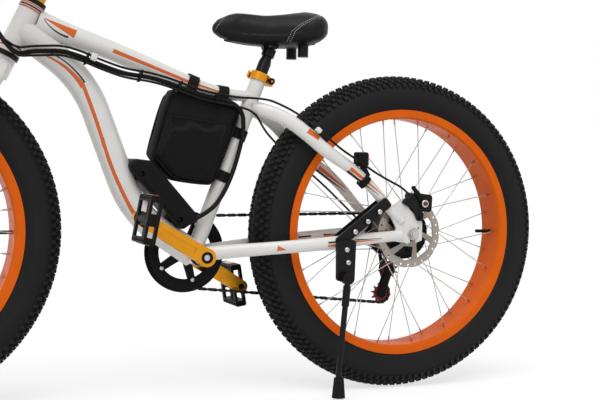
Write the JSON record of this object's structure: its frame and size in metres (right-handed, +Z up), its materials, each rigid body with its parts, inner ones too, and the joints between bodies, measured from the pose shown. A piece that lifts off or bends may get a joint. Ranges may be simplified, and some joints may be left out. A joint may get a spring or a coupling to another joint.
{
  "type": "fat tire bike",
  "caption": "Fat tyre electric bicycle with rigid fork, hub motor, frame bag battery, disc brakes and kickstand.",
  "frame": {"origin": "on the ground, midway between the two wheel axles, in the middle plane of the bike", "axes": "+X towards the rear wheel, +Y to the rider's right, +Z up"},
  "size_m": [1.8932, 0.6892, 0.9646],
  "materials": {
    "white_paint": "gloss",
    "orange_paint": "gloss",
    "gold_anodised": "satin",
    "tyre_rubber": "matte",
    "black_rubber": "matte",
    "black_plastic": "matte",
    "black_metal": "satin",
    "steel": "satin",
    "disc_steel": "satin",
    "alloy": "satin",
    "nylon": "matte",
    "vinyl": "satin"
  },
  "bodies": {
    "frame": {"head_tube": "white_paint", "top_tube": "white_paint", "down_tube": "white_paint", "seat_tube": "white_paint", "chain_stays": "white_paint", "seat_stays": "white_paint", "bearing_cups": "alloy", "controller_case": "black_plastic", "battery_bag": "nylon", "battery_pack": "black_plastic", "wiring_loom": "black_rubber", "control_cables": "black_rubber", "rear_axle": "steel", "rear_caliper": "black_metal", "rear_derailleur": "black_metal", "chain": "steel", "kickstand_bracket": "black_metal", "seat_collar": "gold_anodised", "tail_light": "black_plastic"},
    "rear_brake_arm": {"rear_caliper_arm": "black_metal"},
    "guide_pulley": {"upper_pulley": "black_plastic"},
    "tension_pulley": {"lower_pulley": "black_plastic"},
    "kickstand": {"kickstand_leg": "black_metal", "kickstand_foot": "black_rubber"},
    "clamp_lever": {"seat_clamp_lever": "gold_anodised"},
    "seat": {"seatpost": "black_metal", "saddle_rails": "black_metal", "saddle_base": "black_plastic", "saddle_pad": "vinyl"},
    "steering": {"fork": "white_paint", "headset_spacers": "gold_anodised", "stem": "black_metal", "handlebar": "black_metal", "left_grip": "black_rubber", "bar_controls": "black_plastic", "front_axle": "steel", "front_caliper": "black_metal", "bar_cables": "black_rubber"},
    "front_brake_arm": {"front_caliper_arm": "black_metal"},
    "left_lever": {"left_brake_lever": "alloy"},
    "right_lever": {"right_brake_lever": "alloy"},
    "throttle": {"throttle_grip": "black_rubber"},
    "front_wheel": {"front_tyre": "tyre_rubber", "front_inner_tube": "black_rubber", "front_rim": "orange_paint", "front_spokes": "steel", "front_hub": "alloy", "front_rotor": "disc_steel"},
    "rear_wheel": {"rear_tyre": "tyre_rubber", "rear_inner_tube": "black_rubber", "rear_rim": "orange_paint", "rear_spokes": "steel", "hub_motor": "black_metal", "rear_rotor": "disc_steel"},
    "cassette": {"freewheel": "steel"},
    "crank": {"crank_arms": "gold_anodised", "chainring": "black_metal", "crank_axles": "steel"},
    "pedal_left": {"left_pedal": "black_plastic"},
    "pedal_right": {"right_pedal": "black_plastic"}
  },
  "joints": [
    {"name": "steer", "type": "hinge", "parent": "frame", "child": "steering", "pos_m": [-0.2785, 0, 0.838], "axis": [0.4384, 0, 0.8988], "range_deg": [-50, 50], "deforming": ["bar_cables"]},
    {"name": "front_wheel_spin", "type": "hinge", "parent": "steering", "child": "front_wheel", "pos_m": [-0.58, 0, 0.367], "axis": [0, -1, 0], "continuous": true},
    {"name": "rear_wheel_spin", "type": "hinge", "parent": "frame", "child": "rear_wheel", "pos_m": [0.58, 0, 0.367], "axis": [0, -1, 0], "continuous": true},
    {"name": "crank_spin", "type": "hinge", "parent": "frame", "child": "crank", "pos_m": [0.08, 0, 0.318], "axis": [0, -1, 0], "continuous": true, "deforming": ["chain"]},
    {"name": "freewheel_spin", "type": "hinge", "parent": "frame", "child": "cassette", "pos_m": [0.58, 0, 0.367], "axis": [0, -1, 0], "continuous": true},
    {"name": "guide_pulley_spin", "type": "hinge", "parent": "frame", "child": "guide_pulley", "pos_m": [0.598, 0, 0.271], "axis": [0, -1, 0], "continuous": true},
    {"name": "tension_pulley_spin", "type": "hinge", "parent": "frame", "child": "tension_pulley", "pos_m": [0.57812, 0, 0.21227], "axis": [0, -1, 0], "continuous": true},
    {"name": "left_pedal_spin", "type": "hinge", "parent": "crank", "child": "pedal_left", "pos_m": [-0.06722, 0, 0.403], "axis": [0, -1, 0], "continuous": true},
    {"name": "right_pedal_spin", "type": "hinge", "parent": "crank", "child": "pedal_right", "pos_m": [0.22722, 0, 0.233], "axis": [0, -1, 0], "continuous": true},
    {"name": "kickstand_fold", "type": "hinge", "parent": "frame", "child": "kickstand", "pos_m": [0.403, -0.118, 0.27], "axis": [0, -1, 0], "range_deg": [0, 95]},
    {"name": "seatpost_slide", "type": "slide", "parent": "frame", "child": "seat", "axis": [0.3486, 0, 0.9373], "range_m": [-0.02, 0.06]},
    {"name": "seat_clamp_open", "type": "hinge", "parent": "frame", "child": "clamp_lever", "pos_m": [0.25309, 0.017, 0.71027], "axis": [-0.3486, 0, -0.9373], "range_deg": [0, 100]},
    {"name": "left_lever_pull", "type": "hinge", "parent": "steering", "child": "left_lever", "pos_m": [-0.34933, -0.2087, 0.92973], "axis": [-0.342, -0.0163, 0.9396], "range_deg": [0, 14], "stiffness_Nm_per_rad": 1.2},
    {"name": "right_lever_pull", "type": "hinge", "parent": "steering", "child": "right_lever", "pos_m": [-0.34933, 0.2087, 0.92973], "axis": [0.342, -0.0163, -0.9396], "range_deg": [0, 14], "stiffness_Nm_per_rad": 1.2},
    {"name": "throttle_twist", "type": "hinge", "parent": "steering", "child": "throttle", "pos_m": [-0.29842, 0.34, 0.94599], "axis": [0.0995, 0.9949, 0.0189], "range_deg": [0, 60], "stiffness_Nm_per_rad": 0.1},
    {"name": "front_brake_pull", "type": "hinge", "parent": "steering", "child": "front_brake_arm", "pos_m": [-0.50654, 0, 0.35808], "axis": [0, -1, 0], "range_deg": [0, 14], "stiffness_Nm_per_rad": 0.5},
    {"name": "rear_brake_pull", "type": "hinge", "parent": "frame", "child": "rear_brake_arm", "pos_m": [0.604, -0.097, 0.437], "axis": [0, -1, 0], "range_deg": [0, 14], "stiffness_Nm_per_rad": 0.5}
  ],
  "couplings": [
    {"joint": "freewheel_spin", "follows": "crank_spin", "ratio": 2},
    {"joint": "guide_pulley_spin", "follows": "crank_spin", "ratio": -3.6364},
    {"joint": "tension_pulley_spin", "follows": "crank_spin", "ratio": 3.6364},
    {"joint": "front_brake_pull", "follows": "left_lever_pull", "ratio": 1},
    {"joint": "rear_brake_pull", "follows": "right_lever_pull", "ratio": 1}
  ]
}
